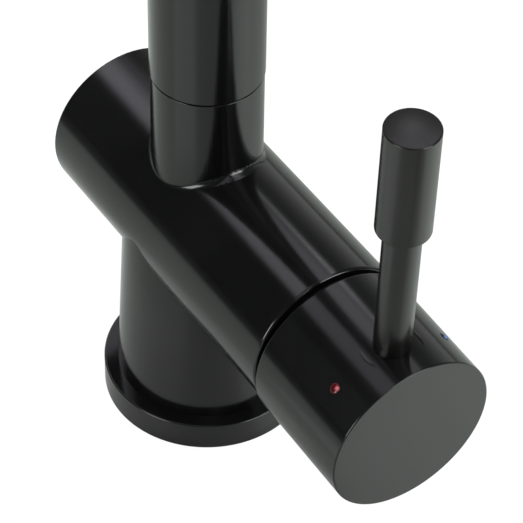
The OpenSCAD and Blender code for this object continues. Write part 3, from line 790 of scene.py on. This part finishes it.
# %% Sweep the tube
ARCH_R = 100.0
ARCH_Z = span("spout_tube", 2)[1] - TUBE_R - ARCH_R
LEG_END = ARCH_Z - 20
ARCH_POINTS = 121
TUBE_SIZES = {
    "Tube radius": TUBE_R * MM, "Foot": TUBE_FOOT * MM, "Arch height": ARCH_Z * MM,
    "Arch radius": ARCH_R * MM, "Outlet": LEG_END * MM, "Sides": 96}


def tube_tree():
    """A circle swept up the riser, round the arch and down to the outlet."""
    nodes, given = geometry_tree("spout_path", TUBE_SIZES)
    radius, reach = given["Arch radius"], given["Arch radius"] * -2

    def point(height, y=0):
        return nodes.add("ShaderNodeCombineXYZ", {}, {"Y": y, "Z": height})

    def line(start, end):
        return nodes.add("GeometryNodeCurvePrimitiveLine", {}, {"Start": start, "End": end})

    rise = line(point(given["Foot"]), point(given["Arch height"]))
    leg = line(point(given["Arch height"], reach), point(given["Outlet"], reach))
    arc = nodes.add("GeometryNodeCurveArc", {}, {
        "Resolution": ARCH_POINTS, "Radius": radius, "Sweep Angle": math.pi})
    arch = nodes.add("GeometryNodeTransform", {}, {
        "Geometry": arc, "Translation": point(given["Arch height"], radius * -1),
        "Rotation": (math.pi / 2, 0, math.pi / 2)})
    joined = nodes.add("GeometryNodeJoinGeometry")
    for part in (rise, leg, arch):
        nodes.tree.links.new(part.socket, joined.socket.node.inputs[0])
    wire = nodes.add("GeometryNodeCurveToMesh", {}, {"Curve": joined})
    whole = nodes.add("GeometryNodeMergeByDistance", {}, {"Geometry": wire, "Distance": 1e-6})
    path = nodes.add("GeometryNodeMeshToCurve", {}, {"Mesh": whole})
    circle = nodes.add("GeometryNodeCurvePrimitiveCircle", {}, {
        "Resolution": given["Sides"], "Radius": given["Tube radius"]})
    return sweep_out(nodes, path, circle, FINISH["black_metal"], caps=False)


tube_mesh = grow(tube_tree(), "spout_sweep", TUBE_SIZES)
print("swept tube", len(tube_mesh.polygons), "faces")

# %% Give the tube its wall
TUBE_WALL = 1.5


def outward(shape):
    """Turns every face to point outwards."""
    bmesh.ops.recalc_face_normals(shape, faces=shape.faces)


def sharp_rims(shape):
    """Smooth faces, with a sharp edge wherever they turn by more than the crease."""
    for line in shape.edges:
        line.smooth = len(line.link_faces) == 2 and line.calc_face_angle(0) < CREASE
    for face in shape.faces:
        face.smooth = True


def with_wall(mesh, wall, name):
    """Solidify inwards, then mark the rims as sharp."""
    holder = in_scene(bpy.data.objects.new(name, reshape(mesh, outward)))
    modifier = holder.modifiers.new("wall", "SOLIDIFY")
    modifier.thickness = wall
    modifier.offset = -1
    modifier.use_even_offset = True
    result = baked(holder)
    result.name = name
    return reshape(result, sharp_rims)


spout_mesh = with_wall(tube_mesh, TUBE_WALL * MM, "spout_wall")
piece(spout_mesh, "spout", "black_metal", "spout", "spout_tube")

# %% [markdown]
# ## The two dark lines
# A thin plastic washer parts the swivelling tube from the collar, and shows as the seam between
# them. In the gap between barrel and cap the dark bonnet ring shows. It has a domed face, so its
# CAD shape is kept and only smoothed.

# %% Make the seam washer and the bonnet
WASHER_BORE, WASHER_R = 11.4, 13.4
seam_outline = [
    (WASHER_BORE, SEAM_Z, 0), (WASHER_R, SEAM_Z, 0.1), (WASHER_R, TUBE_FOOT, 0.1),
    (WASHER_BORE, TUBE_FOOT, 0)]
piece(lathe("seam_turned", seam_outline), "seam", "black_plastic", "spout", "swivel_washer")
bonnet_mesh = smooth_copy("bonnet_ring", "bonnet_domed")
piece(bonnet_mesh, "bonnet", "black_plastic", "tap_body", "bonnet_ring")

# %% [markdown]
# ## The handset
# The pull-out handset continues the tube, tapers to its nozzle and ends in a screwed ring. The
# ring has a fine joint line above it.

# %% Make the handset
HANDSET_TOP = LEG_END - 0.4
HANDSET_LOW = HANDSET_TOP - 96
OUTLET = (0, -2 * ARCH_R, 0)
SHELL_LOW = HANDSET_LOW + 2.4
SHELL_BORE, NOZZLE_R = 11.8, 13.2
TAPER_TOP, SCREW_TOP = SHELL_LOW + 26, SHELL_LOW + 12
NECK_BORE, NECK_LOW = 8.55, HANDSET_TOP - 6
shell_outline = [
    (SHELL_BORE, SHELL_LOW, 0), (NOZZLE_R, SHELL_LOW, 0.25), (TUBE_R, TAPER_TOP, 0),
    (TUBE_R, HANDSET_TOP, 0.25), (NECK_BORE, HANDSET_TOP, 0.1), (NECK_BORE, NECK_LOW, 0),
    (SHELL_BORE, NECK_LOW, 0), (SHELL_BORE, TAPER_TOP, 0), (SHELL_BORE, SCREW_TOP, 0)]
LIP_BORE, AERATOR_R, RING_SCREW_R = 9.3, 10.3, 11.75
LIP_TOP, RING_TOP = HANDSET_LOW + 1, SHELL_LOW + 10
nozzle_outline = [
    (LIP_BORE, HANDSET_LOW, 0.1), (NOZZLE_R, HANDSET_LOW, 0.5), (NOZZLE_R, SHELL_LOW, 0.2),
    (RING_SCREW_R, SHELL_LOW, 0), (RING_SCREW_R, RING_TOP, 0), (AERATOR_R, RING_TOP, 0),
    (AERATOR_R, LIP_TOP, 0), (LIP_BORE, LIP_TOP, 0)]
handset_mesh = lathe("handset_turned", shell_outline, OUTLET)
piece(handset_mesh, "handset", "black_metal", "handset", "handset_shell")
nozzle_mesh = lathe("nozzle_turned", nozzle_outline, OUTLET)
piece(nozzle_mesh, "nozzle", "black_metal", "handset", "nozzle_ring")

# %% [markdown]
# ## The thread under the worktop
# The back nut climbs a long thread on the hollow shank. Geometry Nodes make it from its pitch:
# a spiral carries a four-sided profile, whose outer corner is the crest.

# %% Wind the thread
SHANK_R, SHANK_BORE, PITCH, DEPTH = 16.0, 13.5, 1.5, 0.75
SHANK_LOW, SHANK_TOP = span("threaded_shank", 2)
CORE_R, RUN_OUT = SHANK_R - DEPTH, 1.5
THREAD_LONG = SHANK_TOP - SHANK_LOW - 2 * RUN_OUT
POINTS_PER_TURN, PROFILE_SIDES = 48, 4
THREAD_SIZES = {
    "Low end": (SHANK_LOW + RUN_OUT) * MM, "Height": THREAD_LONG * MM, "Radius": CORE_R * MM,
    "Depth": DEPTH * MM, "Turns": THREAD_LONG / PITCH}


def thread_tree():
    """A square on its corner, wound up the shank."""
    nodes, given = geometry_tree("thread", THREAD_SIZES)
    spiral = nodes.add("GeometryNodeCurveSpiral", {}, {
        "Resolution": POINTS_PER_TURN, "Rotations": given["Turns"], "Height": given["Height"],
        "Start Radius": given["Radius"], "End Radius": given["Radius"]})
    lift = nodes.add("ShaderNodeCombineXYZ", {}, {"Z": given["Low end"]})
    lifted = nodes.add("GeometryNodeTransform", {}, {"Geometry": spiral, "Translation": lift})
    path = nodes.add("GeometryNodeSetCurveNormal", {"mode": "Z_UP"}, {"Curve": lifted})
    profile = nodes.add("GeometryNodeCurvePrimitiveCircle", {}, {
        "Resolution": PROFILE_SIDES, "Radius": given["Depth"]})
    return sweep_out(nodes, path, profile, FINISH["brass"], caps=True)


thread_mesh = reshape(grow(thread_tree(), "thread_sweep", THREAD_SIZES), outward)
crest = max(math.hypot(v.co.x, v.co.y) for v in thread_mesh.vertices) / MM
print("thread crest at radius", round(crest, 3), "with", len(thread_mesh.polygons), "faces")
core_outline = [
    (SHANK_BORE, SHANK_LOW, 0.2), (CORE_R, SHANK_LOW, 0.4), (CORE_R, SHANK_TOP, 0.4),
    (SHANK_BORE, SHANK_TOP, 0.2)]
piece(lathe("shank_core", core_outline), "shank", "brass", "tap_body", "threaded_shank")
piece(thread_mesh, "shank_thread", "brass", "tap_body", "threaded_shank")

# %% [markdown]
# ## Pieces that only show when something moves
# The coupling on top of the handset, the stem behind the cap and the fixing under the worktop
# keep their CAD shapes. Smooth copies of them carry the turned brass and moulded plastic.

# %% Smooth the pieces behind
BEHIND = [
    "handset_connector", "check_valve", "hose_washer", "aerator_insert", "docking_sleeve",
    "spout_bush", "retaining_nut", "cartridge_stem", "cartridge_rotor", "cartridge_housing",
    "back_nut", "clamp_washer", "rubber_washer", "inlet_block", "cap_grub_screw",
    "spout_stop_screw"]
for node in BEHIND:
    copy = smooth_copy(node, node + "_smooth")
    piece(copy, node + "_skin", SLOT_OF[node], BODY_OF[node], node)

# %% [markdown]
# ## The floor and the room
# The photograph is a studio shot on white: a white table, a pale sweep rising behind it, a dark
# room on the other sides, long lamps overhead and smaller ones lower down. A gloss black object
# is drawn entirely by what it mirrors, so the table has to end where the real one ends. The
# camera itself sees only white. The sink bowl in the floor is there for the handset to be drawn
# down into.

# %% Build the floor
TABLE_AZIMUTH = math.radians(57.8)
TABLE_ALONG = (math.cos(TABLE_AZIMUTH), math.sin(TABLE_AZIMUTH), 0)
# Where the table fades in and out along that direction, in metres from the tap
TABLE_ENDS = (-0.36, -0.29, 0.62, 0.75)
FAR = 6.0
BOWL = (-0.24, -0.42, 0.24, -0.03)
WORKTOP_ROUND_TAP = 0.165
BOWL_EDGE = 0.0002
BOWL_DEEP = 0.24
# Painted light: how light the table looks in the gloss, with its pools of light painted by the
# angle from the front towards the right
TABLE_LEVELS = [
    (-180, 0.50), (-162, 0.46), (-146, 0.42), (-120, 0.58), (-97, 0.68), (-80, 0.66),
    (-64, 0.62), (-50, 0.56), (-19, 0.53), (-3, 0.54), (12, 0.56), (28, 0.60), (43, 0.46),
    (60, 0.42), (76, 0.44), (86, 0.52), (95, 0.84), (108, 0.90), (116, 0.97), (128, 0.97),
    (138, 0.92), (152, 0.74), (167, 0.62), (180, 0.50)]
TABLE_GREY = (0.93, 1.0, 0.94)
WHITE, PALE, DARK = (1, 1, 1), (0.9, 0.9, 0.9), (0.10, 0.10, 0.10)


def staged(name, points, faces, material):
    """A piece of the surroundings, which isn't part of the tap."""
    mesh = bpy.data.meshes.new(name)
    mesh.from_pydata(points, [], faces)
    mesh.materials.append(material)
    made = in_scene(bpy.data.objects.new(name, mesh))
    return made


def white_to_eye(nodes, colour, strength, share):
    """Lit in this colour, but for the camera mostly a plain white light."""
    lit = nodes.add("ShaderNodeBsdfDiffuse", {}, {"Color": colour})
    white = nodes.add("ShaderNodeEmission", {}, {"Color": WHITE, "Strength": strength})
    shares = {0: nodes.ray("Is Camera Ray") * share, 1: lit, 2: white}
    return nodes.add("ShaderNodeMixShader", {}, shares)


def table_paint(nodes, place, x, y, away):
    """The table as the gloss mirrors it, with pools of light and shade painted on it by the place
    on it.
    """
    turn = nodes.bearing(x, y)
    stops = [(angle / 360 + 0.5, [level * part for part in TABLE_GREY])
             for angle, level in TABLE_LEVELS]
    paint = nodes.add("ShaderNodeValToRGB", {"stops": stops}, {0: turn / 360 + 0.5})
    # Painted light in front to the right and round the foot, and a painted shadow under the
    # lever's side
    painted_light_patch = turn.between(-10, -3, 30, 42) * away.steps(0.104, 0.114)
    paint = nodes.blend(painted_light_patch * 0.35, paint, (1.0, 0.98, 1.03))
    paint = nodes.blend(away.steps(0.078, 0.058) * 0.3, paint, WHITE)
    shade = turn.between(76, 83, 97, 106) * away.steps(0.15, 0.235)
    paint = nodes.blend(shade * 0.6, paint, DARK)
    on_table = nodes.vector("DOT_PRODUCT", place, TABLE_ALONG).between(*TABLE_ENDS)
    return nodes.blend(on_table, DARK, paint)


def floor_finish():
    """White to the camera, a lit table to the gloss, and open over the sink bowl."""
    material, nodes = new_material("floor")
    place = nodes.place()
    x, y, _ = nodes.split(place)
    away = nodes.vector("LENGTH", place)
    to_gloss = nodes.ray("Is Glossy Ray")
    paint = nodes.blend(to_gloss, PALE, table_paint(nodes, place, x, y, away))
    shader = white_to_eye(nodes, paint, 1.06, 0.9)
    x0, y0, x1, y1 = BOWL
    over = [nodes.maths("GREATER_THAN", more, less)
            for more, less in ((x, x0), (x1, x), (y, y0), (y1, y))]
    over.append(away.steps(WORKTOP_ROUND_TAP, WORKTOP_ROUND_TAP + BOWL_EDGE))
    hole = math.prod(over) * (1 - to_gloss)
    clear = nodes.add("ShaderNodeBsdfTransparent")
    shader = nodes.add("ShaderNodeMixShader", {}, {0: hole, 1: shader, 2: clear})
    nodes.add("ShaderNodeOutputMaterial", {}, {"Surface": shader})
    return material


corners = [(-FAR, -FAR, 0), (FAR, -FAR, 0), (FAR, FAR, 0), (-FAR, FAR, 0)]
staged("floor", corners, [(0, 1, 2, 3)], floor_finish())
print("floor", 2 * FAR, "m wide")

# %% [markdown]
# The handset is drawn down in front of the worktop's edge, into a sink. A plain white bowl in the
# floor stands for it, and its edge curves round the tap, so that it lies under the whole swing of
# the spout. The floor is see-through over the bowl, but not in reflections, because the real tap
# was photographed on a table without one.

# %% Build the sink bowl
def bowl_finish():
    """A plain white sink."""
    material, nodes = new_material("bowl")
    shader = white_to_eye(nodes, PALE, 1.0, 0.8)
    nodes.add("ShaderNodeOutputMaterial", {}, {"Surface": shader})
    return material


x0, y0, x1, y1 = BOWL
rim = [(x0, y0), (x1, y0), (x1, y1), (x0, y1)]
bowl_points = [(x, y, z) for z in (0, -BOWL_DEEP) for x, y in rim]
bowl_faces = [(4, 5, 6, 7)] + [(k, 4 + k, 4 + (k + 1) % 4, (k + 1) % 4) for k in range(4)]
bowl = staged("bowl", bowl_points, bowl_faces, bowl_finish())
bowl.visible_glossy = False
print("bowl", BOWL, "deep", BOWL_DEEP)

# %% [markdown]
# The room is the world's light. Its dark base, the pale sweep low down behind and the lamps all
# depend on direction alone. The overhead lamps run along X, so each is a band of the angle
# about that axis. The lower ones are each a band of azimuth and a band of height.

# %% Light the room
# Where each overhead lamp starts, is full, holds and ends, in degrees about X
FIRST_BAND, SECOND_BAND, MERGED_BAND = (62, 69, 83, 98), (97, 103, 112, 129), (66, 82, 94, 112)
LAMPS_RISE = (0.15, 0.3)
# The first lamp bends away past this X of the direction
BEND_X, BEND = -0.58, 100
# Lower lamps: azimuth in degrees, height as the direction's Z, and strength
LOW_LAMPS = [
    ((-10, -2, 16, 24), (0.0, 0.04, 0.38, 0.46), 6.0),
    ((90, 97, 122, 130), (0.02, 0.09, 0.38, 0.46), 6.0),
    ((85, 95, 125, 140), (0.42, 0.48, 0.75, 0.85), 0.5),
    ((-136, -132, -129, -125), (0.62, 0.67, 0.71, 0.74), 2.0)]
BEHIND_X, BEHIND_Y = -0.766, 0.643
SWEEP_LEVEL, HAZE_LEVEL, ROOM_LEVEL, FILL_LEVEL = 0.56, 0.08, 0.05, 0.35
ROOM_TINT, LAMP_TINT = (0.97, 1.0, 0.97), (0.99, 0.97, 1.06)


def room_shine(nodes, x, y, z):
    """What the gloss mirrors in a direction: its strength, and the lamps' share of it."""
    about_x = nodes.maths("ARCTAN2", z, y * -1) * DEGREES
    azimuth = nodes.bearing(x, y)
    behind = (x * BEHIND_X + y * BEHIND_Y).steps(0.1, 0.75)
    sweep = behind * z.steps(0.6, -0.05) * SWEEP_LEVEL
    left, right = x.steps(-0.59, -0.64), x.steps(-0.57, -0.52)
    bent = about_x + nodes.maths("MINIMUM", x - BEND_X, 0) * BEND
    first = bent.between(*FIRST_BAND) * (1.36 - 0.84 * left - 0.78 * right)
    second = about_x.between(*SECOND_BAND) * (1.07 - 0.72 * left)
    merged_lamp = about_x.between(*MERGED_BAND) * left
    lamps = (first + second + merged_lamp) * z.steps(*LAMPS_RISE)
    low_lamps = sum(azimuth.between(*band) * z.between(*height) * strength
                    for band, height, strength in LOW_LAMPS)
    haze = (about_x.steps(122, 134) + right * about_x.steps(50, 42)) * HAZE_LEVEL
    return lamps + low_lamps + sweep + haze + ROOM_LEVEL, lamps


def room():
    """White to the camera, the lamps and the sweep to the gloss, an even fill to the rest."""
    world = bpy.data.worlds.new("room")
    world.use_nodes = True
    bpy.context.scene.world = world
    nodes = Nodes(world.node_tree)
    shine, lamps = room_shine(
        nodes, *nodes.split(nodes.add("ShaderNodeTexCoord", out="Generated")))
    tint = nodes.blend(lamps.steps(0.0, 0.4), ROOM_TINT, LAMP_TINT)

    def background(colour, strength):
        return nodes.add("ShaderNodeBackground", {}, {"Color": colour, "Strength": strength})

    shader = nodes.add("ShaderNodeMixShader", {}, {
        0: nodes.ray("Is Glossy Ray"), 1: background(WHITE, FILL_LEVEL),
        2: background(tint, shine)})
    shader = nodes.add("ShaderNodeMixShader", {}, {
        0: nodes.ray("Is Camera Ray"), 1: shader, 2: background(WHITE, 1.0)})
    nodes.add("ShaderNodeOutputWorld", {}, {"Surface": shader})


room()


def soft_lamp(name, place, aim, size, power):
    """A broad lamp that lights colours and the table, and isn't mirrored itself."""
    data = bpy.data.lights.new(name, "AREA")
    data.shape = "DISK"
    data.size = size
    data.energy = power
    lamp = in_scene(bpy.data.objects.new(name, data))
    lamp.location = place
    lamp.rotation_mode = "QUATERNION"
    lamp.rotation_quaternion = (Vector(aim) - Vector(place)).to_track_quat("-Z", "Y")
    lamp.visible_glossy = False
    lamp.visible_camera = False
    print(name, power, "W")


soft_lamp("lamp_back_right", (0.45, 0.5, 0.8), (0.2, 0.2, 0), 0.6, 5.5)
soft_lamp("lamp_front", (-0.1, -0.6, 0.9), (0.0, -0.2, 0), 0.6, 4.7)
soft_lamp("lamp_left", (-0.7, 0.0, 0.9), (0, 0, 0.05), 0.8, 4)

# %% [markdown]
# The plain Standard view keeps colours as written.

# %% Finish
bpy.context.scene.view_settings.view_transform = "Standard"
